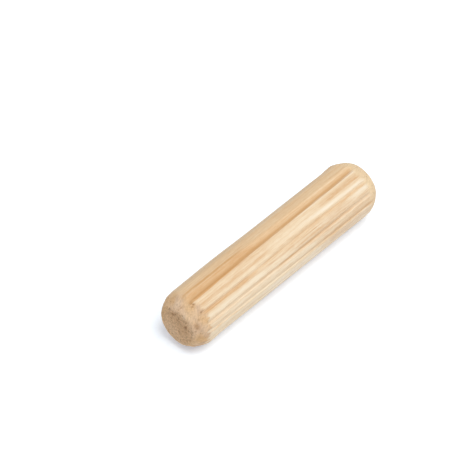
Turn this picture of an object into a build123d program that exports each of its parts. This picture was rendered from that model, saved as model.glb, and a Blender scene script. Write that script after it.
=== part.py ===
"""A fluted wooden dowel pin, 8 mm across and 35 mm long, lying on its side.

The pin is one piece of wood: a turned rod with straight flutes pressed along its whole length, which let the
glue past it. Both sawn ends are rounded down to a smaller flat face, so that the pin finds its hole. Every third
flute is broad and dished, and the others are narrow. The model lies along X with its lowest ridges on Z = 0. A
broad flute is below it, so it rests on the two ridges beside that flute, as the real pin does.
"""

import os

from build123d import *

# Rod, in millimetres
PIN_LENGTH = 35.0
PIN_DIAMETER = 8.0

# Rounded ends: how far the rounding reaches along the pin, what is left flat, and how full the rounding is
END_ROUNDING_LENGTH = 2.2
END_FACE_DIAMETER = 5.8
END_ROUNDING_BULGE = 0.12
FACE_EDGE_RADIUS = 0.4
SHOULDER_RADIUS = 1.5

# Flutes: how far each kind goes in, and the radius of the tooth that presses it. Every third one is broad
FLUTE_COUNT = 18
BROAD_FLUTE_EVERY = 3
NARROW_FLUTE_DEPTH = 0.3
NARROW_TOOTH_RADIUS = 0.35
BROAD_FLUTE_DEPTH = 0.3
BROAD_TOOTH_RADIUS = 0.9

pin_radius = PIN_DIAMETER / 2
face_radius = END_FACE_DIAMETER / 2
half_length = PIN_LENGTH / 2
shoulder = half_length - END_ROUNDING_LENGTH
narrow_tooth_centre = pin_radius - NARROW_FLUTE_DEPTH + NARROW_TOOTH_RADIUS
broad_tooth_centre = pin_radius - BROAD_FLUTE_DEPTH + BROAD_TOOTH_RADIUS

# The two edges of the lowest flute are where its tooth's circle crosses the rod's circle, and the pin rests there
lowest_edge_cosine = (pin_radius**2 + broad_tooth_centre**2 - BROAD_TOOTH_RADIUS**2) / (
    2 * pin_radius * broad_tooth_centre
)
axis_height = pin_radius * lowest_edge_cosine

# The side view, with X along the pin, and the plane of the end face at -X, which looks along the pin to +X
side = Plane(origin=(0, 0, axis_height), x_dir=(1, 0, 0), z_dir=(0, -1, 0))
start_face = Plane(origin=(-half_length, 0, axis_height), x_dir=(0, 1, 0), z_dir=(1, 0, 0))


def middle_of_rounding():
    """The point that the rounding passes halfway: the middle of its chord, moved outwards by the bulge."""
    chord = Vector(shoulder - half_length, pin_radius - face_radius)
    outwards = Vector(chord.Y, -chord.X).normalized() * END_ROUNDING_BULGE
    return Vector(half_length, face_radius) + chord * 0.5 + outwards


with BuildPart() as dowel_pin:
    # Half of the outline, from the middle of the rod over its rounded end to the axis, and its mirror image,
    # turned about the axis
    with BuildSketch(side) as rod_outline:
        with BuildLine() as rod_edge:
            Line((0, pin_radius), (shoulder, pin_radius))
            ThreePointArc((shoulder, pin_radius), middle_of_rounding(), (half_length, face_radius))
            Line((half_length, face_radius), (half_length, 0))
            mirror(about=Plane.YZ)
            Line((half_length, 0), (-half_length, 0))
        make_face()
        fillet(
            rod_outline.vertices().filter_by(lambda v: abs(v.Y - face_radius) < 0.001),
            radius=FACE_EDGE_RADIUS,
        )
        fillet(
            rod_outline.vertices().filter_by(lambda v: abs(abs(v.X) - shoulder) < 0.001),
            radius=SHOULDER_RADIUS,
        )
    revolve(axis=Axis((0, 0, axis_height), (1, 0, 0)))

    # The flutes run straight through from end to end and fade out on the rounded ends. The first is exactly below
    with BuildSketch(start_face) as flute_teeth:
        for number in range(FLUTE_COUNT):
            is_broad = number % BROAD_FLUTE_EVERY == 0
            centre = broad_tooth_centre if is_broad else narrow_tooth_centre
            with PolarLocations(centre, 1, start_angle=number * 360 / FLUTE_COUNT - 90):
                Circle(BROAD_TOOTH_RADIUS if is_broad else NARROW_TOOTH_RADIUS)
    extrude(amount=PIN_LENGTH, mode=Mode.SUBTRACT)

dowel_pin.part.label = "dowel_pin"

os.makedirs("parts", exist_ok=True)
export_step(dowel_pin.part, "parts/dowel_pin.step")
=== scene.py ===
"""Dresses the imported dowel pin: one turned and fluted rod of pale birch, on a white floor in soft daylight.

The pin is spun from its half outline, its flutes are pressed in by moving vertices, and its wood is one solid
procedural material, so that the growth rings run through from the side to both ends.
"""
import math
import random

import bmesh
import bpy
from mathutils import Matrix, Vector, noise
from mathutils.kdtree import KDTree


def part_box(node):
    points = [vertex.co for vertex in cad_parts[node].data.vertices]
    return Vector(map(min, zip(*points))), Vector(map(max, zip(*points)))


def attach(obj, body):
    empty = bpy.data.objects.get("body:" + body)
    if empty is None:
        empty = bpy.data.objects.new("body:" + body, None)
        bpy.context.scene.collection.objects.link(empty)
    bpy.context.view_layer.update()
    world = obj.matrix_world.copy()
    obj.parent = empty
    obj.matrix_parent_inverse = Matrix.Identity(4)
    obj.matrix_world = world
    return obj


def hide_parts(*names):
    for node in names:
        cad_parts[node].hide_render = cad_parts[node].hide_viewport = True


bl_info = {
    "name": "Fluted Dowel Pin",
    "version": (1, 0, 0),
    "blender": (4, 5, 0),
    "location": "View3D > Sidebar > Dowel Pin",
    "description": "Builds a fluted wooden dowel pin with its wood, floor, light and camera",
    "category": "Add Mesh",
}

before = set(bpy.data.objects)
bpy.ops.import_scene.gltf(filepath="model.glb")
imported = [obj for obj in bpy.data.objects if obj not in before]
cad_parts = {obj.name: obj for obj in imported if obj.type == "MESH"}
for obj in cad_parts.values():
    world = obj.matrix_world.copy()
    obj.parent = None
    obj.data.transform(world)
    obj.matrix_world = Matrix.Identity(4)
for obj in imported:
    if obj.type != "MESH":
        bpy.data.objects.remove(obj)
PIN_LOW, PIN_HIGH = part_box("dowel_pin")
MM = 0.001                                  # one millimetre in scene units
AXIS_HEIGHT = (PIN_HIGH.z + PIN_LOW.z) / 2

# The pin is shaped in millimetres about its own axis, and scaled and lifted into place at the end
HALF_LENGTH = (PIN_HIGH.x - PIN_LOW.x) / MM / 2
RADIUS = (PIN_HIGH.y - PIN_LOW.y) / 2 / MM

# Turned outline: how far the rounding bulges past its chord, and how much is cut off each corner to soften it
ROUNDING_BULGE = 0.18
FACE_EDGE_CUT = 0.28
ROUNDING_CUT = 0.45
SHOULDER_CUT = 0.36
CORNER_SEGMENTS = 6

# Spacing of the mesh along the rod, and along the outline of its ends
ROD_STEP = 0.4
END_STEP = 0.13

# Half width, and share of the full depth, of the flutes that the camera doesn't see
HIDDEN_BROAD_FLUTE = (0.6, 0.9)
HIDDEN_NARROW_FLUTE = (0.3, 0.55)

# Flutes: how far from its middle a flute is looked for, the widths over which its edges are rounded, on the
# rod and where it runs out on the turned ends, and how much further the pressed wood reaches down in it
FLUTE_REACH = 0.25                          # radians
FLUTE_EDGE_WIDTH = 0.05
TURNED_EDGE_WIDTH = 0.04
FLUTE_RUN_OUT = 2                           # times its depth
LINE_WIDTH = 0.11                           # of the dark line of shade painted down in a flute

# How each flute wavers along the pin: the length that this takes, and two numbers that keep the noises apart
PLACE_WAVER = (5.0, 3.7, 1.3)
DEPTH_WAVER = (7.0, 5.1, 8.2)
LINE_WAVER = (3.0, 2.9, 4.4)
PLACE_WAVER_ANGLE = 0.006                   # radians
DEPTH_WAVER_SHARE = 0.3
LINE_WAVER_SHARE = 0.5
LINE_STRENGTH = 0.85
LINE_END = 0.7                              # share of the half length where a line has its tone of the end

# Streaks of the grain: how many half widths from its middle one still shows, how long it takes to fade out,
# and the angles in degrees of those that the camera doesn't see
STREAK_REACH = 2.5
STREAK_FADE = 2.0
HIDDEN_STREAK_ANGLES = range(130, 300, 9)

# Relief in the mesh: cells per millimetre of each noise, and its height
FIBRE_ALONG = 0.11
FIBRE_ACROSS = 3.2
FIBRE_HEIGHT = 0.007
FINE_TEAR = (4.5, 0.03)
COARSE_TEAR = (1.7, 0.05)
TEAR_FADE = 0.6
RELIEF_START = 1.0                          # distance from the axis where the side's relief fades in
RELIEF_FULL = 3.2
FACE_MARGIN = 0.02                          # what lies this near to an end is its flat face

# Edge of the cut wood: its reach before the shoulder and its softness on the far end, and on the near end the
# angles in degrees where it turns soft and sharp again, and where it moves out and back in
FAR_EDGE = (-0.25, 0.5)
NEAR_EDGE_REACH = -0.15
SOFT_START = (-100, -80)
SOFT_END = (14, 2)
SOFT_DROP = 0.3
RISE_ANGLES = (15, 35)
RISE = 0.3
DROP_ANGLES = (62, 95)
DROP = 0.55

# How wide that edge is where it is sharp, what softness adds, and how this changes along it
SHARP_WIDTH = 0.35
SOFT_WIDTH = 0.9
WIDTH_CHANGE = 0.3
WIDTH_CELLS = 0.7                           # for each millimetre
LEAST_WIDTH = 0.12

# Cut ends: how far in from each end they are painted, how far from the axis the end is flat and pores are
# strewn, and how fast the rounding falls back between the two
END_ZONE = 2.9
FLAT_REACH = 2.8
STREWN_REACH = 3.6
ROUNDING_FALL = 1.9

# Pores: how many are strewn on each end, their least and largest radius and darkness, how deep the darkest
# is, and how much each kind is weakened. How many radii from its middle a patch or a pore is painted
STREWN_PORES = 55
STREWN_RADIUS = (0.09, 0.17)
STREWN_DARKNESS = (0.3, 0.9)
PORE_DEPTH = 0.12
SEEN_PORE_SHARE = 0.75
NEAR_PORE_SHARE = 0.8
FAR_PORE_SHARE = 0.4
PATCH_REACH = 2.2
PORE_REACH = 1.4

# Flutes that the camera sees: turn in degrees, half width, share of the full depth, drift in degrees for each
# millimetre, and how dark its line of painted shade is at the near end, in the middle and at the far end
SEEN_FLUTES = {
    16: (0.0, 0.4, 0.1, 0.0, (0.0, 0.0, 0.0)),
    17: (0.0, 0.4, 0.1, 0.0, (0.0, 0.0, 0.0)),
    0: (1.1, 0.63, 0.75, -0.12, (0.0, 0.0, 0.0)),
    1: (4.0, 0.3, 0.15, 0.0, (0.0, 0.0, 0.0)),
    2: (-0.7, 0.26, 0.5, -0.12, (0.62, 0.64, -0.1)),
    3: (2.8, 0.3, 0.55, -0.05, (0.35, 0.68, 0.42)),
    4: (1.2, 0.25, 0.45, 0.03, (-0.2, 0.38, 0.25)),
    5: (0.0, 0.3, 0.3, 0.0, (0.1, 0.1, 0.2)),
}

# Streaks of the grain that the camera sees: angle in degrees, half width, start and end along the pin, and
# how far each turns to orange, or to white below 0
SEEN_STREAKS = (
    (-9.5, 0.16, -17.0, -5.0, 0.85), (3.0, 0.4, -16.5, -2.0, 0.45), (-3.5, 0.25, -16.5, -4.0, 0.4),
    (10.0, 0.18, -16.0, -7.0, 0.9), (6.5, 0.3, 7.0, 17.0, -0.3), (27.0, 0.2, -16.0, -7.0, 0.6),
    (27.0, 0.2, -7.0, 0.0, 0.3), (32.0, 0.1, -12.0, 2.0, -0.1), (30.5, 0.24, 7.0, 17.0, -0.5),
    (21.0, 0.2, 8.0, 17.0, 0.5), (17.0, 0.12, 7.0, 17.0, 0.35), (43.5, 0.22, -16.0, -6.0, 0.45),
    (47.0, 0.3, 8.0, 12.5, 0.35), (55.0, 0.35, 1.0, 17.0, 0.35), (70.0, 0.4, 4.0, 17.0, 0.38),
    (52.0, 0.3, -16.0, -5.0, -0.4), (47.5, 0.1, -5.0, 7.0, 0.45), (81.0, 0.3, -17.0, -5.0, 0.1),
    (81.0, 0.3, 5.0, 17.0, 0.25), (-7.0, 0.2, 8.0, 17.0, -0.1), (95.0, 0.8, -17.0, -1.0, -0.2),
    (90.0, 0.8, 6.0, 18.0, 0.3), (45.5, 0.28, 12.5, 19.0, -0.5), (3.0, 0.5, 14.5, 19.0, -0.4),
    (39.5, 0.1, 10.5, 17.0, 0.3), (26.5, 0.22, -2.0, 9.0, -0.4), (-0.5, 0.35, -3.0, 16.0, 0.2),
)

# Slight swellings of the turned rod: place along it, angle in degrees, length, spread in degrees, and height
SWELLINGS = ((-8.0, -58.0, 5.0, 60.0, 0.09), (14.9, -58.0, 0.7, 22.0, 0.1), (-14.7, 122.0, 0.8, 25.0, 0.1))

# Soft patches on the near end, partly painted light: the dark ones over the middle and top of the sawn face
# are painted shade, and the light ones along its bottom rim are painted bounce light from the floor.
# Place along the pin, angle in degrees, distance from the axis, radius, and how far each turns to the dark,
# or to the light below 0
SEEN_PATCHES_AND_PAINTED_LIGHT = (
    (-17.5, 10.0, 1.2, 1.3, 0.2), (-17.5, 90.0, 1.3, 0.9, 0.22), (-17.5, -38.0, 2.05, 0.5, 0.15),
    (-16.2, -29.0, 3.7, 0.4, 0.2), (-15.84, 93.0, 3.82, 0.5, 0.25), (-16.86, 88.0, 3.33, 0.35, 0.25),
    (-16.9, 61.0, 3.3, 0.5, 0.3), (-15.6, 15.0, 3.85, 0.35, 0.3), (-15.6, 37.0, 3.8, 0.3, 0.25),
    (-17.5, -136.0, 1.6, 1.1, -0.15), (-17.3, 120.0, 2.95, 0.45, -0.25), (-17.4, 145.0, 2.85, 0.45, -0.3),
    (-17.4, 170.0, 2.85, 0.45, -0.3), (-17.4, -160.0, 2.85, 0.45, -0.25), (-16.87, -11.0, 3.33, 0.5, -0.3),
    (-16.38, 11.0, 3.58, 0.45, -0.12), (-16.9, 30.0, 3.25, 0.8, -0.2), (-15.9, 68.0, 3.8, 0.4, -0.3),
    (-17.5, 23.0, 2.75, 0.35, -0.35), (-17.5, 148.0, 2.4, 0.35, 0.25), (-16.9, 57.0, 3.3, 0.35, 0.35),
)

# Pores that the camera sees: place along the pin, angle in degrees, distance from the axis, radius and
# darkness
SEEN_PORES = (
    (-17.5, 58.0, 1.64, 0.36, 1.0), (-17.5, 54.0, 1.85, 0.24, 0.9), (-17.5, 163.0, 0.75, 0.26, 0.9),
    (-17.5, -25.0, 2.0, 0.3, 1.0), (-17.5, -11.0, 2.1, 0.24, 0.9), (-17.5, -5.0, 1.2, 0.22, 0.8),
    (-17.5, 89.0, 1.5, 0.2, 0.7), (-17.5, 131.0, 2.16, 0.22, 0.8), (-17.5, 112.0, 2.42, 0.24, 0.5),
    (-17.5, -50.0, 1.4, 0.2, 0.7), (-17.0, 64.0, 3.26, 0.22, 0.6), (-15.8, 12.0, 3.85, 0.24, 1.0),
    (-15.75, 16.5, 3.85, 0.22, 0.9), (-15.6, 39.0, 3.8, 0.24, 1.0), (-15.3, 66.0, 3.85, 0.2, 0.7),
    (-16.0, 19.0, 3.75, 0.18, 0.8), (-16.4, 48.0, 3.6, 0.18, 0.6), (-15.6, 102.0, 3.75, 0.2, 0.7),
    (14.75, 40.0, 3.9, 0.16, 0.8), (14.9, 72.0, 3.95, 0.18, 0.8), (14.8, 63.0, 3.9, 0.16, 0.7),
    (15.2, 12.0, 3.8, 0.16, 0.6),
)

# Growth rings: how they are turned about the pin and tilted along it, in degrees, how far from the axis they
# are drawn, and how far they wander
RING_TURN = -11.7
RING_TILT = -0.82
RING_REACH = 4.0
RING_WANDER = 0.1

# One cell of each pattern in the wood: its length along the pin and its width across it, in millimetres.
# Single fibres, a fiftieth of a millimetre wide, are too fine to show, so the grain is drawn in coarser
# bundles of them
WANDER_CELL = (16.67, 3.333)
FIBRE_CELL = (12.5, 0.3846)
HAIR_CELL = (2.222, 0.1333)
FLECK_CELL = (0.909, 0.2222)
SPECKLE_CELL = (0.4545, 0.2703)
PATCH_CELL = (2.0, 1.667)
TORN_CELL = (1.111, 0.2222)
VESSEL_CELL = (0.8333, 0.3846)
FRAY_CELL = (2.857, 0.6667)

# How strongly hairlines, flecks and painted streaks count beside the fibres, and torn fibres on the ends
HAIR_SHARE = 0.7
FLECK_SHARE = 0.35
TINT_SHARE = 0.9
TORN_SHARE = 0.95
TORN_TWIST = 0.4                            # radians for each millimetre

# Height of the grain in the wood's bump, on the side and on the cut ends
SIDE_RELIEF = 0.02
END_RELIEF = 0.07

# Sockets of the Mix node, which Blender numbers: its inputs for colours and for values, and its colour output
FACTOR, COLOUR_A, COLOUR_B = 0, 6, 7
VALUE_A, VALUE_B = 2, 3
MIXED_COLOUR = 2

# Where the camera looks, from the pin's middle, in the picture's own directions, and half the floor's width
TARGET_LEFT = 5.83
TARGET_UP = 3.66
FLOOR_REACH = 1500.0


def linear(hex_colour):
    """An sRGB hex colour as linear red, green, blue and alpha."""
    channels = [int(hex_colour[i:i + 2], 16) / 255 for i in (1, 3, 5)]
    return [c / 12.92 if c <= 0.04045 else ((c + 0.055) / 1.055) ** 2.4 for c in channels] + [1.0]


def colour_between(first, second, share):
    """The colour that lies a share of the way from the first to the second."""
    return [a * (1 - share) + b * share for a, b in zip(first, second)]


def add_node(tree, kind, inputs=None, stops=None, **settings):
    """Adds a node with its settings, its ramp stops, and its inputs, each a value or a node's socket."""
    node = tree.nodes.new(kind)
    for name, value in settings.items():
        setattr(node, name, value)
    for key, value in (inputs or {}).items():
        if isinstance(value, bpy.types.NodeSocket):
            tree.links.new(value, node.inputs[key])
        else:
            node.inputs[key].default_value = value
    if stops:
        elements = node.color_ramp.elements
        while len(elements) < len(stops):
            elements.new(1.0)
        for element, (position, colour) in zip(elements, stops):
            element.position = position
            element.color = colour
    return node


def smooth_step(low, high, value):
    """0 at low, 1 at high, and an even curve between them. Low may be the larger of the two."""
    share = min(max((value - low) / (high - low), 0.0), 1.0)
    return share * share * (3 - 2 * share)


def soft_minimum(a, b, width):
    """The smaller of two lengths, blended over a width so that the edge between them is rounded."""
    share = max(width - abs(a - b), 0.0) / width
    return min(a, b) - share * share * width / 4


class DowelPinSettings(bpy.types.PropertyGroup):
    """Sizes and colours of the pin."""

    rounding_length: bpy.props.FloatProperty(
        name="Rounding Length", description="How far each rounded end reaches along the pin",
        default=2.2 * MM, min=0.1 * MM, max=6 * MM, unit="LENGTH")
    face_radius: bpy.props.FloatProperty(
        name="Face Radius", description="Radius of the flat face at each end",
        default=2.9 * MM, min=0.5 * MM, max=4 * MM, unit="LENGTH")
    flute_count: bpy.props.IntProperty(
        name="Flutes", description="Number of flutes around the pin", default=18, min=3, max=36)
    broad_every: bpy.props.IntProperty(
        name="Broad Flute Every", description="One flute in this many is broad and dished",
        default=3, min=1, max=9)
    flute_depth: bpy.props.FloatProperty(
        name="Flute Depth", description="Depth of the deepest flutes below the turned surface",
        default=0.3 * MM, min=0.02 * MM, max=0.6 * MM, unit="LENGTH")
    around: bpy.props.IntProperty(
        name="Steps Around", description="Steps of the turned shape around its axis",
        default=540, min=90, max=720)
    seed: bpy.props.IntProperty(
        name="Seed", description="Chooses how the flutes, streaks and pores that aren't seen lie",
        default=4, min=0)
    pale_wood: bpy.props.FloatVectorProperty(
        name="Pale Wood", description="Colour of the pale early growth", subtype="COLOR", size=4,
        default=linear("#F0DBBB"), min=0, max=1)
    white_wood: bpy.props.FloatVectorProperty(
        name="White Wood", description="Colour of the palest streaks", subtype="COLOR", size=4,
        default=linear("#FCF3E2"), min=0, max=1)
    tan_wood: bpy.props.FloatVectorProperty(
        name="Tan Wood", description="Colour of the darker side", subtype="COLOR", size=4,
        default=linear("#E9CAA1"), min=0, max=1)
    orange_wood: bpy.props.FloatVectorProperty(
        name="Orange Wood", description="Colour of the late growth, at the edge of a ring",
        subtype="COLOR", size=4, default=linear("#CF9B60"), min=0, max=1)
    # painted shade: the colour of the dark line painted down in each flute
    painted_groove_shade: bpy.props.FloatVectorProperty(
        name="Groove Wood", description="Colour of the shade painted down in a flute",
        subtype="COLOR", size=4, default=linear("#BE8B52"), min=0, max=1)
    end_wood: bpy.props.FloatVectorProperty(
        name="End Grain", description="Colour of the cut fibres on the near rounded end",
        subtype="COLOR", size=4, default=linear("#E0B98A"), min=0, max=1)
    grey_end_wood: bpy.props.FloatVectorProperty(
        name="Grey End Grain", description="Colour of the greyer patches of the rounded ends",
        subtype="COLOR", size=4, default=linear("#DFBF9E"), min=0, max=1)
    far_end_wood: bpy.props.FloatVectorProperty(
        name="Far End Grain", description="Colour of the cut fibres on the far rounded end",
        subtype="COLOR", size=4, default=linear("#ECD2AB"), min=0, max=1)
    face_wood: bpy.props.FloatVectorProperty(
        name="Face Grain", description="Colour of the sawn end faces", subtype="COLOR", size=4,
        default=linear("#DEBA93"), min=0, max=1)
    # partly painted shade: this colour also darkens the middle and top of the near face
    dark_end_wood_and_shade: bpy.props.FloatVectorProperty(
        name="Dark End Grain", description="Colour of the darkest patches of the cut ends",
        subtype="COLOR", size=4, default=linear("#A87A4C"), min=0, max=1)
    # partly painted light: this colour also lightens the bottom rim of the near face, as the floor's bounce
    light_end_wood_and_bounce: bpy.props.FloatVectorProperty(
        name="Light End Grain", description="Colour of the lightest patches of the cut ends",
        subtype="COLOR", size=4, default=linear("#F3DFC6"), min=0, max=1)
    pore_wood: bpy.props.FloatVectorProperty(
        name="Pores", description="Colour down in the open pores", subtype="COLOR", size=4,
        default=linear("#855830"), min=0, max=1)


class DowelStageSettings(bpy.types.PropertyGroup):
    """The camera, the light and the floor around the pin."""

    camera_azimuth: bpy.props.FloatProperty(
        name="Camera Azimuth", description="Turn of the camera around the pin, 0 looks along +Y",
        default=math.radians(-47.4), unit="ROTATION")
    camera_elevation: bpy.props.FloatProperty(
        name="Camera Elevation", description="Height of the camera above the horizon",
        default=math.radians(46.15), unit="ROTATION")
    camera_distance: bpy.props.FloatProperty(
        name="Camera Distance", description="Distance from the camera to the pin",
        default=520 * MM, min=50 * MM, unit="LENGTH")
    camera_lens: bpy.props.FloatProperty(
        name="Focal Length", description="Focal length on a 36 mm sensor",
        default=322.4, min=20, unit="CAMERA")
    key_azimuth: bpy.props.FloatProperty(
        name="Key Azimuth", description="Direction that the key lamp shines from, 0 is the -Y side",
        default=math.radians(5), unit="ROTATION")
    key_elevation: bpy.props.FloatProperty(
        name="Key Elevation", description="Height of the key lamp above the horizon",
        default=math.radians(70), unit="ROTATION")
    key_spread: bpy.props.FloatProperty(
        name="Key Spread", description="How wide the key lamp is in the sky, wider is softer",
        default=math.radians(40), min=0, unit="ROTATION")
    key_strength: bpy.props.FloatProperty(
        name="Key Strength", description="Irradiance of the key lamp, 3.14 lights white to white",
        default=1.86, min=0)
    world_strength: bpy.props.FloatProperty(
        name="Daylight", description="Strength of the even daylight all round", default=0.45, min=0)
    floor_colour: bpy.props.FloatVectorProperty(
        name="Floor", description="Colour of the floor", subtype="COLOR", size=4,
        default=linear("#F0F0F0"), min=0, max=1)
    floor_shade: bpy.props.FloatVectorProperty(
        name="Floor Shade", description="Colour that the camera sees in the shade on the floor",
        subtype="COLOR", size=4, default=linear("#F2FAFD"), min=0, max=1)
    floor_glow: bpy.props.FloatVectorProperty(
        name="Floor Glow", description="Light that the floor adds for the camera, which turns it white",
        subtype="COLOR", size=4, default=linear("#8E929E"), min=0, max=1)


def spin_pin(settings):
    """A bmesh, in millimetres about the X axis, of the plain turned pin."""
    bm = bmesh.new()
    face = settings.face_radius / MM
    shoulder = HALF_LENGTH - settings.rounding_length / MM
    along = Vector((HALF_LENGTH - shoulder, face - RADIUS))
    bulge = Vector((-along.y, along.x)).normalized() * ROUNDING_BULGE
    middle = Vector(((HALF_LENGTH + shoulder) / 2 + bulge.x, (RADIUS + face) / 2 + bulge.y))
    right = [(shoulder, RADIUS), (middle.x, middle.y), (HALF_LENGTH, face), (HALF_LENGTH, 0.0)]
    outline = [(-x, r) for x, r in reversed(right)] + right
    verts = [bm.verts.new((x, 0.0, r)) for x, r in outline]
    for pair in zip(verts, verts[1:]):
        bm.edges.new(pair)
    for number, cut in ((1, FACE_EDGE_CUT), (2, ROUNDING_CUT), (3, SHOULDER_CUT)):
        corners = [verts[number], verts[-1 - number]]
        bmesh.ops.bevel(bm, geom=corners, offset=cut, offset_type="OFFSET", affect="VERTICES",
                        segments=CORNER_SEGMENTS, profile=0.5, material=-1, clamp_overlap=True)
    for edge in bm.edges[:]:
        step = ROD_STEP if edge.calc_length() > HALF_LENGTH else END_STEP
        cuts = math.ceil(edge.calc_length() / step) - 1
        if cuts:
            bmesh.ops.subdivide_edges(bm, edges=[edge], cuts=cuts)
    sector = 2 * math.pi / settings.flute_count
    bmesh.ops.spin(bm, geom=bm.verts[:] + bm.edges[:], cent=(0, 0, 0), axis=(1, 0, 0), angle=sector,
                   steps=settings.around // settings.flute_count)
    bmesh.ops.spin(bm, geom=bm.verts[:] + bm.edges[:] + bm.faces[:], cent=(0, 0, 0), axis=(1, 0, 0),
                   angle=2 * math.pi - sector, steps=settings.flute_count - 1, use_duplicate=True)
    bmesh.ops.remove_doubles(bm, verts=bm.verts, dist=1e-4)
    bmesh.ops.recalc_face_normals(bm, faces=bm.faces)
    return bm


def flutes_of(settings):
    """Each flute's number, middle angle, half width, depth, drift and dark line, in mm and radians."""
    pitch = 2 * math.pi / settings.flute_count
    depth = settings.flute_depth / MM
    chance = random.Random(settings.seed)
    flutes = []
    for number in range(settings.flute_count):
        broad = number % settings.broad_every == 0
        hidden_turn = chance.uniform(-1.0, 1.0)
        hidden_drift = chance.uniform(-0.1, 0.1)
        # how dark the line of painted shade is in each unseen flute
        hidden_line = [chance.uniform(0.1, 0.7) for _ in range(3)]
        hidden_width, hidden_share = HIDDEN_BROAD_FLUTE if broad else HIDDEN_NARROW_FLUTE
        hidden = (hidden_turn, hidden_width, hidden_share, hidden_drift, hidden_line)
        turn, half_width, share, drift, line = SEEN_FLUTES.get(number, hidden)
        middle = number * pitch + math.radians(turn)
        flutes.append((number, middle, half_width, share * depth, math.radians(drift), line))
    return flutes


def streaks_of(settings):
    """The seen streaks of the grain, and others like them around the rest of the pin."""
    chance = random.Random(settings.seed + 1)
    streaks = list(SEEN_STREAKS)
    for angle in HIDDEN_STREAK_ANGLES:
        start = chance.uniform(-22, 8)
        place = angle + chance.uniform(-4, 4)
        half_width = chance.uniform(0.1, 0.3)
        end = start + chance.uniform(8, 26)
        streaks.append((place, half_width, start, end, chance.uniform(-0.5, 0.6)))
    return streaks


def flute_wall(half_width, depth, offset):
    """Distance from the axis to the wall of a round-bottomed flute, at an angle from its middle."""
    tooth = (half_width ** 2 + depth ** 2) / (2 * depth)
    centre = RADIUS - depth + tooth
    across = centre * math.sin(offset)
    if abs(across) >= tooth or abs(offset) > math.pi / 4:
        return math.inf
    return centre * math.cos(offset) - math.sqrt(tooth ** 2 - across ** 2)


def waver_at(x, number, waver):
    """Noise about 0 along one flute, with the flute's number to keep it apart from the others."""
    length, step, level = waver
    return noise.noise((x / length, number * step, level))


def wall_and_line(flutes, x, angle):
    """Distance from the axis to the pressed side here, and how dark the line of shade painted down in its
    flute is.
    """
    wall, line = RADIUS, 0.0
    for number, middle, half_width, depth, drift, (near, central, far) in flutes:
        offset = math.remainder(angle - middle - drift * x, 2 * math.pi)
        if abs(offset) > FLUTE_REACH:
            continue
        offset += PLACE_WAVER_ANGLE * waver_at(x, number, PLACE_WAVER)
        depth *= 1 + DEPTH_WAVER_SHARE * waver_at(x, number, DEPTH_WAVER)
        wall = soft_minimum(wall, flute_wall(half_width, depth, offset), FLUTE_EDGE_WIDTH)
        end_share = min(abs(x) / (LINE_END * HALF_LENGTH), 1.0)
        dark = central + ((near if x < 0 else far) - central) * end_share
        dark *= LINE_STRENGTH + LINE_WAVER_SHARE * waver_at(x, number, LINE_WAVER)
        line = max(line, dark * math.exp(-(offset * RADIUS / LINE_WIDTH) ** 2))
    return wall, line


def streak_tint(streaks, x, angle):
    """How far the streaks turn the wood to orange here, or to white below 0."""
    tint = 0.0
    for place, half_width, start, end, strength in streaks:
        offset = math.remainder(angle - math.radians(place), 2 * math.pi) * RADIUS / half_width
        if abs(offset) < STREAK_REACH:
            along = smooth_step(start - STREAK_FADE, start + STREAK_FADE, x)
            along *= 1 - smooth_step(end - STREAK_FADE, end + STREAK_FADE, x)
            tint += strength * along * math.exp(-offset ** 2)
    return tint


def swelling_height(swelling, x, angle):
    """How far one swelling lifts the turned rod here."""
    at, place, length, spread, height = swelling
    turn = math.remainder(angle - math.radians(place), 2 * math.pi) / math.radians(spread)
    return height * math.exp(-((x - at) / length) ** 2 - turn ** 2)


def fibre_height(co, turned):
    """How far the long fibres of the side stand up here. They run straight, over the rounding too."""
    grain = Vector((0.0, co.y, co.z)) * (RADIUS / turned)
    return noise.noise(Vector((co.x * FIBRE_ALONG, 0.0, 0.0)) + grain * FIBRE_ACROSS) * FIBRE_HEIGHT


def tear_height(co):
    """How far the torn fibres of a cut end stand up here, or are torn out below 0."""
    (fine_cells, fine_height), (coarse_cells, coarse_height) = FINE_TEAR, COARSE_TEAR
    return noise.noise(co * fine_cells) * fine_height + noise.noise(co * coarse_cells) * coarse_height


def cut_edge(x, angle):
    """How far before the shoulder the cut wood starts here, and how soft its edge is, from 0 to 1.

    On the near end the edge is soft on the side at negative angles, and how far out it lies changes with the
    angle. On the far end it is the same all round.
    """
    if x >= 0:
        return FAR_EDGE
    degrees = math.degrees(angle)
    softness = smooth_step(*SOFT_START, degrees) * smooth_step(*SOFT_END, degrees)
    reach = NEAR_EDGE_REACH - SOFT_DROP * softness
    reach += RISE * smooth_step(*RISE_ANGLES, degrees) - DROP * smooth_step(*DROP_ANGLES, degrees)
    return reach, softness


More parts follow.
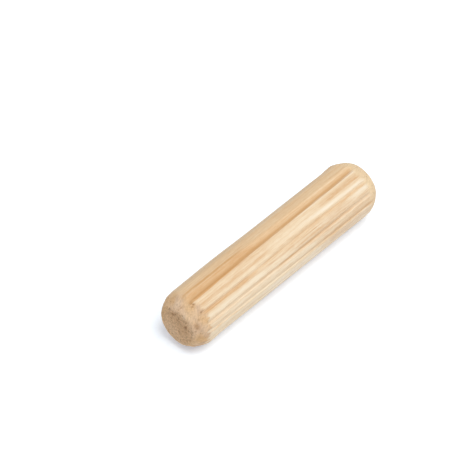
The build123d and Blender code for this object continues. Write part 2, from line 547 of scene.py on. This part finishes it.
def press_flutes(bm, settings):
    """Presses the flutes into the turned pin, and paints on each vertex what the material needs to know."""
    line_layer = bm.verts.layers.float.new("painted_flute_shade")
    end_layer = bm.verts.layers.float.new("end_cut")
    tint_layer = bm.verts.layers.float.new("grain_tint")
    blur_layer = bm.verts.layers.float.new("cut_blur")
    shoulder = HALF_LENGTH - settings.rounding_length / MM
    flutes, streaks = flutes_of(settings), streaks_of(settings)
    for vert in bm.verts:
        x, turned = vert.co.x, math.hypot(vert.co.y, vert.co.z)
        if turned < 1e-6:
            # the pole of an end face, which is cut wood and has no angle
            vert[end_layer] = 2.0
            vert[blur_layer] = 0.5
            continue
        angle = math.atan2(-vert.co.y, vert.co.z)
        wall, line = wall_and_line(flutes, x, angle)
        swollen = sum(swelling_height(swelling, x, angle) for swelling in SWELLINGS)
        lifted = swollen + fibre_height(vert.co, turned)
        torn = tear_height(vert.co) * smooth_step(shoulder, shoulder + TEAR_FADE, abs(x))
        pressed = soft_minimum(turned, wall, TURNED_EDGE_WIDTH)
        pressed += lifted * smooth_step(RELIEF_START, RELIEF_FULL, turned)
        pressed += torn
        if abs(x) > HALF_LENGTH - FACE_MARGIN:
            # the flat face is torn along the pin, and not outwards
            vert.co.x += math.copysign(torn, x)
            pressed -= torn
        # painted shade: how dark the line painted down in the flute is here
        vert[line_layer] = line
        vert[tint_layer] = streak_tint(streaks, x, angle)
        reach, softness = cut_edge(x, angle)
        vert[end_layer] = abs(x) - shoulder + reach - FLUTE_RUN_OUT * (RADIUS - wall)
        width = SHARP_WIDTH + SOFT_WIDTH * softness + WIDTH_CHANGE * noise.noise(vert.co * WIDTH_CELLS)
        vert[blur_layer] = max(width, LEAST_WIDTH)
        vert.co.y *= pressed / turned
        vert.co.z *= pressed / turned


def seen_place(x, degrees, r):
    """The point at a place along the pin, an angle from its top and a distance from its axis."""
    angle = math.radians(degrees)
    return Vector((x, -r * math.sin(angle), r * math.cos(angle)))


def pores_of(settings):
    """The seen pores of both ends, and others strewn around them: each one's place, radius and depth."""
    chance = random.Random(settings.seed + 2)
    pores = [(seen_place(x, degrees, r), size, SEEN_PORE_SHARE * dark)
             for x, degrees, r, size, dark in SEEN_PORES]
    for side, share in ((-1, NEAR_PORE_SHARE), (1, FAR_PORE_SHARE)):
        for _ in range(STREWN_PORES):
            angle = chance.uniform(0, 2 * math.pi)
            r = STREWN_REACH * math.sqrt(chance.random())
            x = HALF_LENGTH - max(r - FLAT_REACH, 0.0) * ROUNDING_FALL
            place = Vector((side * x, r * math.sin(angle), r * math.cos(angle)))
            size = chance.uniform(*STREWN_RADIUS)
            pores.append((place, size, chance.uniform(*STREWN_DARKNESS) * share))
    return pores


def sink_pores(bm, settings):
    """Opens pores in both cut ends, small pits painted dark, and paints the seen soft patches, among them
    painted shade and painted bounce light on the near face.
    """
    pore_layer = bm.verts.layers.float.new("open_pore")
    patch_and_light_layer = bm.verts.layers.float.new("end_patch_and_painted_light")
    bm.verts.ensure_lookup_table()
    bm.normal_update()
    ends = [vert for vert in bm.verts if abs(vert.co.x) > HALF_LENGTH - END_ZONE]
    tree = KDTree(len(ends))
    for index, vert in enumerate(ends):
        tree.insert(vert.co, index)
    tree.balance()
    for x, degrees, r, size, strength in SEEN_PATCHES_AND_PAINTED_LIGHT:
        for _, index, distance in tree.find_range(seen_place(x, degrees, r), size * PATCH_REACH):
            ends[index][patch_and_light_layer] += strength * math.exp(-(distance / size) ** 2)
    for place, size, depth in pores_of(settings):
        for _, index, distance in tree.find_range(tree.find(place)[0], size * PORE_REACH):
            share = depth * math.exp(-(distance / size) ** 2 * 2)
            if share > ends[index][pore_layer]:
                ends[index][pore_layer] = share
    for vert in ends:
        if vert[pore_layer] > 0.01:
            vert.co -= vert.normal * vert[pore_layer] * PORE_DEPTH


def add_pattern(tree, kind, place, cell, **inputs):
    """A texture over a place in millimetres, stretched so that its cells have their length and width."""
    length, width = cell
    scaled = add_node(tree, "ShaderNodeMapping", {
        "Vector": place, "Scale": (1 / length, 1 / width, 1 / width)})
    return add_node(tree, kind, {"Vector": scaled.outputs[0], "Scale": 1.0, **inputs})


def growth_rings(tree, centred, settings):
    """The colour of the growth rings: bands across the rod, which wander a little along it. Their last band,
    on the +Y side that turns away from the key, is the tan evenly darkened as painted shade.
    """
    # turned so that Y runs across the rings
    turned = add_node(tree, "ShaderNodeMapping", {
        "Vector": centred, "Rotation": (math.radians(RING_TURN), 0, math.radians(RING_TILT))}).outputs[0]
    ring_place = add_node(tree, "ShaderNodeSeparateXYZ", {"Vector": turned}).outputs["Y"]
    wander = add_pattern(tree, "ShaderNodeTexNoise", centred, WANDER_CELL, Detail=2.0).outputs["Fac"]
    drift = add_node(tree, "ShaderNodeMapRange", {
        "Value": wander, "From Min": 0.3, "From Max": 0.7,
        "To Min": -RING_WANDER, "To Max": RING_WANDER}).outputs[0]
    ring_mm = add_node(tree, "ShaderNodeMath", {0: ring_place, 1: drift}, operation="ADD").outputs[0]
    ring_share = add_node(tree, "ShaderNodeMapRange", {
        "Value": ring_mm, "From Min": -RING_REACH, "From Max": RING_REACH}).outputs[0]
    pale, tan = list(settings.pale_wood), list(settings.tan_wood)
    half = colour_between(pale, tan, 0.5)
    quarter = colour_between(pale, tan, 0.25)
    amber = colour_between(settings.orange_wood, tan, 0.34)
    cream = colour_between(pale, settings.white_wood, 0.15)
    light = colour_between(pale, settings.white_wood, 0.4)
    # painted shade: the tan evenly darkened, for the darker grazing edge on the +Y side
    painted_shade_tan = [t * 0.88 for t in tan]
    return add_node(tree, "ShaderNodeValToRGB", {"Fac": ring_share}, stops=[
        (0.0, light), (0.016, pale), (0.05, cream), (0.19, cream), (0.24, half), (0.30, pale),
        (0.36, quarter), (0.40, pale), (0.47, half), (0.509, pale), (0.516, amber), (0.56, amber),
        (0.61, tan), (0.80, tan), (0.88, painted_shade_tan), (1.0, painted_shade_tan)]).outputs["Color"]


def pressed_side(tree, centred, settings):
    """The colour of the pressed side and the height of its grain: streaked along it, with shade painted down
    in a flute.

    The fibres are drawn 0.4 mm wide and 12 mm long, the hairlines between them 0.13 mm wide and 2 mm long,
    and the flecks 0.2 mm wide and 0.9 mm long.
    """
    rings = growth_rings(tree, centred, settings)
    fibres = add_pattern(
        tree, "ShaderNodeTexNoise", centred, FIBRE_CELL, Detail=4.0, Roughness=0.62).outputs["Fac"]
    hairs = add_pattern(
        tree, "ShaderNodeTexNoise", centred, HAIR_CELL, Detail=3.0, Roughness=0.65).outputs["Fac"]
    flecks = add_pattern(
        tree, "ShaderNodeTexNoise", centred, FLECK_CELL, Detail=2.0, Roughness=0.6).outputs["Fac"]
    flecked = add_node(tree, "ShaderNodeMath", {
        0: flecks, 1: FLECK_SHARE, 2: fibres}, operation="MULTIPLY_ADD").outputs[0]
    grain = add_node(tree, "ShaderNodeMath", {
        0: hairs, 1: HAIR_SHARE, 2: flecked}, operation="MULTIPLY_ADD").outputs[0]
    darker = add_node(tree, "ShaderNodeMapRange", {
        "Value": grain, "From Min": 1.275, "From Max": 0.775, "To Min": -0.2, "To Max": 0.45}).outputs[0]
    tint = add_node(tree, "ShaderNodeAttribute", attribute_name="grain_tint").outputs["Fac"]
    tinted = add_node(tree, "ShaderNodeMath", {
        0: tint, 1: TINT_SHARE, 2: darker}, operation="MULTIPLY_ADD").outputs[0]
    warming = add_node(tree, "ShaderNodeClamp", {"Value": tinted}).outputs[0]
    paling = add_node(tree, "ShaderNodeMath", {
        0: tinted, 1: -1.0}, operation="MULTIPLY", use_clamp=True).outputs[0]
    warmed = add_node(tree, "ShaderNodeMix", {
        FACTOR: warming, COLOUR_A: rings, COLOUR_B: settings.orange_wood},
        data_type="RGBA").outputs[MIXED_COLOUR]
    streaked = add_node(tree, "ShaderNodeMix", {
        FACTOR: paling, COLOUR_A: warmed, COLOUR_B: settings.white_wood},
        data_type="RGBA").outputs[MIXED_COLOUR]
    # painted shade: a dark line down in each flute
    line = add_node(tree, "ShaderNodeAttribute", attribute_name="painted_flute_shade").outputs["Fac"]
    side = add_node(tree, "ShaderNodeMix", {
        FACTOR: line, COLOUR_A: streaked, COLOUR_B: settings.painted_groove_shade},
        data_type="RGBA").outputs[MIXED_COLOUR]
    return side, grain


def end_base(tree, centred, speckle, shares, settings):
    """The colour of the cut ends before their grit: warm and grey patches, the darker sawn face, and the soft
    patches, among them painted shade and painted bounce light on the near face.
    """
    far_end, on_face, greyed = shares
    patches = add_pattern(tree, "ShaderNodeTexNoise", centred, PATCH_CELL, Detail=1.0).outputs["Fac"]
    patch = add_node(tree, "ShaderNodeMapRange", {
        "Value": patches, "From Min": 0.38, "From Max": 0.62}).outputs[0]
    grey_patch = add_node(tree, "ShaderNodeMath", {0: patch, 1: greyed}, operation="MULTIPLY").outputs[0]
    warm = add_node(tree, "ShaderNodeMix", {
        FACTOR: far_end, COLOUR_A: settings.end_wood, COLOUR_B: settings.far_end_wood},
        data_type="RGBA").outputs[MIXED_COLOUR]
    patched = add_node(tree, "ShaderNodeMix", {
        FACTOR: grey_patch, COLOUR_A: warm, COLOUR_B: settings.grey_end_wood},
        data_type="RGBA").outputs[MIXED_COLOUR]
    sawn = add_node(tree, "ShaderNodeMix", {
        FACTOR: on_face, COLOUR_A: patched, COLOUR_B: settings.face_wood},
        data_type="RGBA").outputs[MIXED_COLOUR]
    # painted shade and light among the soft patches: darker over the near face's middle and top, lighter
    # along its bottom rim
    tinge_and_painted_light = add_node(tree, "ShaderNodeAttribute", attribute_name="end_patch_and_painted_light").outputs["Fac"]
    shadowed = add_node(tree, "ShaderNodeMath", {0: speckle, 1: 2.0}, operation="MULTIPLY").outputs[0]
    dark_patch_and_shade = add_node(tree, "ShaderNodeMath", {
        0: tinge_and_painted_light, 1: shadowed}, operation="MULTIPLY", use_clamp=True)
    light_patch_and_bounce = add_node(tree, "ShaderNodeMath", {0: tinge_and_painted_light, 1: -1.0}, operation="MULTIPLY", use_clamp=True)
    darkened = add_node(tree, "ShaderNodeMix", {
        FACTOR: dark_patch_and_shade.outputs[0], COLOUR_A: sawn, COLOUR_B: settings.dark_end_wood_and_shade},
        data_type="RGBA").outputs[MIXED_COLOUR]
    return add_node(tree, "ShaderNodeMix", {
        FACTOR: light_patch_and_bounce.outputs[0], COLOUR_A: darkened, COLOUR_B: settings.light_end_wood_and_bounce},
        data_type="RGBA").outputs[MIXED_COLOUR]


def end_pores(tree, centred, on_face, greyed):
    """How dark the pores are: the painted pits, and the wood's vessels between them.

    Real vessels are a twentieth of a millimetre across. They are drawn as dots 0.1 to 0.2 mm wide, up to two
    and a half to the millimetre, because finer ones wouldn't show.
    """
    vessels = add_pattern(tree, "ShaderNodeTexVoronoi", centred, VESSEL_CELL)
    lot = add_node(tree, "ShaderNodeSeparateXYZ", {"Vector": vessels.outputs["Color"]}).outputs["X"]
    dot = add_node(tree, "ShaderNodeMapRange", {
        "Value": vessels.outputs["Distance"], "From Min": 0.32, "From Max": 0.12}).outputs[0]
    shown = add_node(tree, "ShaderNodeMapRange", {
        "Value": lot, "From Min": 0.7, "From Max": 1.0, "To Max": 0.3}).outputs[0]
    more = add_node(tree, "ShaderNodeMath", {
        0: on_face, 1: 1.0, 2: greyed}, operation="MULTIPLY_ADD").outputs[0]
    kept = add_node(tree, "ShaderNodeMath", {0: shown, 1: more}, operation="MULTIPLY").outputs[0]
    dots = add_node(tree, "ShaderNodeMath", {0: dot, 1: kept}, operation="MULTIPLY").outputs[0]
    pore = add_node(tree, "ShaderNodeAttribute", attribute_name="open_pore").outputs["Fac"]
    return add_node(tree, "ShaderNodeMath", {0: dots, 1: pore}, operation="MAXIMUM").outputs[0]


def cut_end(tree, centred, settings):
    """The colour of the cut ends and the height of their grit: speckled, and darker on the sawn face."""
    speckle = add_pattern(
        tree, "ShaderNodeTexNoise", centred, SPECKLE_CELL, Detail=4.0, Roughness=0.75).outputs["Fac"]
    x_mm = add_node(tree, "ShaderNodeSeparateXYZ", {"Vector": centred}).outputs["X"]
    # the pattern of torn fibres turns along the pin, so that they don't all run straight
    twist = add_node(tree, "ShaderNodeMath", {0: x_mm, 1: TORN_TWIST}, operation="MULTIPLY").outputs[0]
    twisted = add_node(tree, "ShaderNodeVectorRotate", {
        "Vector": centred, "Angle": twist}, rotation_type="X_AXIS").outputs[0]
    torn = add_pattern(
        tree, "ShaderNodeTexNoise", twisted, TORN_CELL, Detail=3.0, Roughness=0.6).outputs["Fac"]
    grit = add_node(tree, "ShaderNodeMath", {
        0: torn, 1: TORN_SHARE, 2: speckle}, operation="MULTIPLY_ADD").outputs[0]
    # 0 on the near end and 1 on the far one, and the sawn face with its ragged edge
    far_end = add_node(tree, "ShaderNodeMapRange", {
        "Value": x_mm, "From Min": -1.0, "From Max": 1.0}).outputs[0]
    flattened = add_node(tree, "ShaderNodeMapping", {"Vector": centred, "Scale": (0.0, 1.0, 1.0)}).outputs[0]
    from_axis = add_node(tree, "ShaderNodeVectorMath", {0: flattened}, operation="LENGTH").outputs["Value"]
    ragged = add_node(tree, "ShaderNodeMath", {
        0: speckle, 1: 1.9, 2: from_axis}, operation="MULTIPLY_ADD").outputs[0]
    sawn_share = add_node(tree, "ShaderNodeMapRange", {
        "Value": far_end, "To Min": 1.0, "To Max": 0.65}).outputs[0]
    on_face = add_node(tree, "ShaderNodeMapRange", {
        "Value": ragged, "From Min": 4.05, "From Max": 3.0, "To Max": sawn_share},
        interpolation_type="SMOOTHSTEP").outputs[0]
    greyed = add_node(tree, "ShaderNodeMapRange", {"Value": far_end, "To Min": 1.0, "To Max": 0.2}).outputs[0]
    base = end_base(tree, centred, speckle, (far_end, on_face, greyed), settings)
    # the grit darkens and lightens it, between limits that are wider on the sawn face
    softened = add_node(tree, "ShaderNodeMapRange", {
        "Value": far_end, "To Min": 0.8, "To Max": 0.88}).outputs[0]
    darkest = add_node(tree, "ShaderNodeMath", {
        0: on_face, 1: -0.15, 2: softened}, operation="MULTIPLY_ADD").outputs[0]
    brightest = add_node(tree, "ShaderNodeMapRange", {
        "Value": on_face, "To Min": 1.18, "To Max": 1.25}).outputs[0]
    level = add_node(tree, "ShaderNodeMapRange", {
        "Value": grit, "From Min": 0.72, "From Max": 1.23, "To Min": darkest, "To Max": brightest}).outputs[0]
    colour = add_node(tree, "ShaderNodeVectorMath", {0: base, 3: level}, operation="SCALE").outputs[0]
    holes = end_pores(tree, centred, on_face, greyed)
    end = add_node(tree, "ShaderNodeMix", {
        FACTOR: holes, COLOUR_A: colour, COLOUR_B: settings.pore_wood},
        data_type="RGBA").outputs[MIXED_COLOUR]
    return end, grit


def cut_share(tree, centred):
    """1 on the cut ends and 0 on the pressed side, with a frayed edge between them."""
    end_cut = add_node(tree, "ShaderNodeAttribute", attribute_name="end_cut").outputs["Fac"]
    fray = add_pattern(
        tree, "ShaderNodeTexNoise", centred, FRAY_CELL, Detail=3.0, Roughness=0.6).outputs["Fac"]
    fray_mm = add_node(tree, "ShaderNodeMapRange", {
        "Value": fray, "From Min": 0.35, "From Max": 0.65, "To Min": -0.5, "To Max": 0.5}).outputs[0]
    past_edge = add_node(tree, "ShaderNodeMath", {0: end_cut, 1: fray_mm}, operation="ADD").outputs[0]
    blur = add_node(tree, "ShaderNodeAttribute", attribute_name="cut_blur").outputs["Fac"]
    blurred = add_node(tree, "ShaderNodeMath", {0: past_edge, 1: blur}, operation="DIVIDE").outputs[0]
    return add_node(tree, "ShaderNodeMapRange", {
        "Value": blurred, "From Min": -1.0, "From Max": 1.0}, interpolation_type="SMOOTHSTEP").outputs[0]


def make_birch(settings):
    """Birch, turned and pressed: pale and finely streaked along the grain, with a soft satin on its ridges.

    The rings are solid bands across the rod, the ends are open grain, matt, darker and dotted with pores.
    """
    material = bpy.data.materials.new("pressed_birch")
    material.use_nodes = True
    tree = material.node_tree
    tree.nodes.clear()
    place = add_node(tree, "ShaderNodeTexCoord").outputs["Object"]
    # millimetres about the pin's axis
    centred = add_node(tree, "ShaderNodeMapping", {
        "Vector": place, "Location": (0, 0, -AXIS_HEIGHT / MM), "Scale": (1 / MM, 1 / MM, 1 / MM)}).outputs[0]
    side, grain = pressed_side(tree, centred, settings)
    end, grit = cut_end(tree, centred, settings)
    cut = cut_share(tree, centred)
    colour = add_node(tree, "ShaderNodeMix", {
        FACTOR: cut, COLOUR_A: side, COLOUR_B: end}, data_type="RGBA").outputs[MIXED_COLOUR]
    roughness = add_node(tree, "ShaderNodeMapRange", {
        "Value": cut, "To Min": 0.55, "To Max": 0.95}).outputs[0]
    side_relief = add_node(tree, "ShaderNodeMath", {
        0: grain, 1: SIDE_RELIEF * MM}, operation="MULTIPLY").outputs[0]
    end_relief = add_node(tree, "ShaderNodeMath", {
        0: grit, 1: END_RELIEF * MM}, operation="MULTIPLY").outputs[0]
    relief = add_node(tree, "ShaderNodeMix", {
        FACTOR: cut, VALUE_A: side_relief, VALUE_B: end_relief}).outputs[0]
    bump = add_node(tree, "ShaderNodeBump", {"Height": relief, "Strength": 1.0, "Distance": 1.0}).outputs[0]
    shader = add_node(tree, "ShaderNodeBsdfPrincipled", {
        "Base Color": colour, "Roughness": roughness, "Normal": bump, "IOR": 1.45})
    add_node(tree, "ShaderNodeOutputMaterial", {"Surface": shader.outputs[0]})
    return material


class DOWEL_OT_pin(bpy.types.Operator):
    """Builds the fluted dowel pin and its birch"""

    bl_idname = "dowel.pin"
    bl_label = "Dowel Pin"

    def execute(self, context):
        settings = context.scene.dowel_pin
        bm = spin_pin(settings)
        press_flutes(bm, settings)
        sink_pores(bm, settings)
        bmesh.ops.scale(bm, vec=(MM, MM, MM), verts=bm.verts)
        bmesh.ops.translate(bm, vec=(0, 0, AXIS_HEIGHT), verts=bm.verts)
        for face in bm.faces:
            face.smooth = True
        mesh = bpy.data.meshes.new("dowel_pin_wood")
        bm.to_mesh(mesh)
        bm.free()
        pin = bpy.data.objects.new("dowel_pin_wood", mesh)
        context.scene.collection.objects.link(pin)
        mesh.materials.append(make_birch(settings))
        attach(pin, "root")
        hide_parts("dowel_pin")
        return {"FINISHED"}


def direction(azimuth, elevation):
    """The unit vector towards a thing that is seen from the pin at this azimuth and elevation."""
    return Vector((math.sin(azimuth) * math.cos(elevation), -math.cos(azimuth) * math.cos(elevation),
                   math.sin(elevation)))


def aim(thing, target):
    """Turns an object's -Z axis to a point, with its Y axis up."""
    thing.rotation_mode = "QUATERNION"
    thing.rotation_quaternion = (target - thing.location).to_track_quat("-Z", "Y")


def background_rays(tree):
    """1 for the rays that show the background, straight, reflected or through glass, and 0 for others."""
    rays = add_node(tree, "ShaderNodeLightPath").outputs
    clear = add_node(tree, "ShaderNodeMath", {
        0: rays["Is Glossy Ray"], 1: rays["Is Transmission Ray"]}, operation="MAXIMUM").outputs[0]
    return add_node(tree, "ShaderNodeMath", {
        0: rays["Is Camera Ray"], 1: clear}, operation="MAXIMUM").outputs[0]


def add_camera(scene, settings, centre):
    """Adds the camera at the photograph's viewing angle, a long lens from well away."""
    azimuth = settings.camera_azimuth
    back = direction(azimuth, settings.camera_elevation)
    right = Vector((math.cos(azimuth), math.sin(azimuth), 0))
    up = back.cross(right)
    target = centre - right * TARGET_LEFT * MM + up * TARGET_UP * MM
    lens = bpy.data.cameras.new("camera")
    lens.sensor_fit = "HORIZONTAL"
    lens.sensor_width = 36.0
    lens.lens = settings.camera_lens
    lens.clip_start = 10 * MM
    lens.clip_end = 10.0
    camera = bpy.data.objects.new("camera", lens)
    camera.location = target + back * settings.camera_distance
    aim(camera, target)
    scene.collection.objects.link(camera)
    scene.camera = camera


def add_daylight(scene, settings):
    """Adds even daylight from all round, which the camera sees as plain white."""
    white = linear("#FFFFFF")
    world = bpy.data.worlds.new("daylight")
    world.use_nodes = True
    tree = world.node_tree
    tree.nodes.clear()
    even = add_node(tree, "ShaderNodeBackground", {"Color": white, "Strength": settings.world_strength})
    seen_white = add_node(tree, "ShaderNodeBackground", {"Color": white, "Strength": 1.0})
    seen = add_node(tree, "ShaderNodeMixShader", {
        0: background_rays(tree), 1: even.outputs[0], 2: seen_white.outputs[0]}).outputs[0]
    add_node(tree, "ShaderNodeOutputWorld", {"Surface": seen})
    scene.world = world


def add_key(scene, settings, centre):
    """Adds the key lamp, a broad soft one high on the near side."""
    sun = bpy.data.lights.new("key", "SUN")
    sun.energy = settings.key_strength
    sun.angle = settings.key_spread
    key = bpy.data.objects.new("key", sun)
    key.location = direction(settings.key_azimuth, settings.key_elevation)
    aim(key, centre)
    scene.collection.objects.link(key)


def make_card(settings):
    """White card: matt, with no sheen, so that only the pin's soft shade shows on it."""
    material = bpy.data.materials.new("white_card")
    material.use_nodes = True
    tree = material.node_tree
    tree.nodes.clear()
    rays = background_rays(tree)
    colour = add_node(tree, "ShaderNodeMix", {
        FACTOR: rays, COLOUR_A: settings.floor_colour, COLOUR_B: settings.floor_shade},
        data_type="RGBA").outputs[MIXED_COLOUR]
    card = add_node(tree, "ShaderNodeBsdfDiffuse", {"Color": colour})
    glow = add_node(tree, "ShaderNodeEmission", {"Color": settings.floor_glow, "Strength": rays})
    lit = add_node(tree, "ShaderNodeAddShader", {0: card.outputs[0], 1: glow.outputs[0]}).outputs[0]
    add_node(tree, "ShaderNodeOutputMaterial", {"Surface": lit})
    return material


def add_floor(scene, settings):
    """Adds the floor that the pin lies on."""
    bm = bmesh.new()
    bmesh.ops.create_grid(bm, x_segments=1, y_segments=1, size=FLOOR_REACH * MM)
    mesh = bpy.data.meshes.new("floor")
    bm.to_mesh(mesh)
    bm.free()
    floor = bpy.data.objects.new("floor", mesh)
    scene.collection.objects.link(floor)
    mesh.materials.append(make_card(settings))


class DOWEL_OT_stage(bpy.types.Operator):
    """Adds the floor, the daylight, the key lamp and the camera"""

    bl_idname = "dowel.stage"
    bl_label = "Stage"

    def execute(self, context):
        scene, settings = context.scene, context.scene.dowel_stage
        centre = Vector((0, 0, AXIS_HEIGHT))
        scene.view_settings.view_transform = "Standard"
        add_camera(scene, settings, centre)
        add_daylight(scene, settings)
        add_key(scene, settings, centre)
        add_floor(scene, settings)
        return {"FINISHED"}


class DOWEL_PT_panel(bpy.types.Panel):
    """Lists the pin, the stage and their settings"""

    bl_idname = "DOWEL_PT_panel"
    bl_label = "Dowel Pin"
    bl_space_type = "VIEW_3D"
    bl_region_type = "UI"
    bl_category = "Dowel Pin"

    def draw(self, context):
        scene = context.scene
        for operator, settings in (("dowel.pin", scene.dowel_pin), ("dowel.stage", scene.dowel_stage)):
            column = self.layout.column()
            column.operator(operator)
            for name in settings.__annotations__:
                column.prop(settings, name)


CLASSES = (DowelPinSettings, DowelStageSettings, DOWEL_OT_pin, DOWEL_OT_stage, DOWEL_PT_panel)


def register():
    """Registers the classes and hangs their settings on the scene."""
    for cls in CLASSES:
        bpy.utils.register_class(cls)
    bpy.types.Scene.dowel_pin = bpy.props.PointerProperty(type=DowelPinSettings)
    bpy.types.Scene.dowel_stage = bpy.props.PointerProperty(type=DowelStageSettings)


def unregister():
    """Takes the settings and the classes away again."""
    del bpy.types.Scene.dowel_stage
    del bpy.types.Scene.dowel_pin
    for cls in reversed(CLASSES):
        bpy.utils.unregister_class(cls)


def main():
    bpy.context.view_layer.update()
    register()
    bpy.ops.dowel.pin()
    bpy.ops.dowel.stage()


if __name__ == "__main__":
    main()
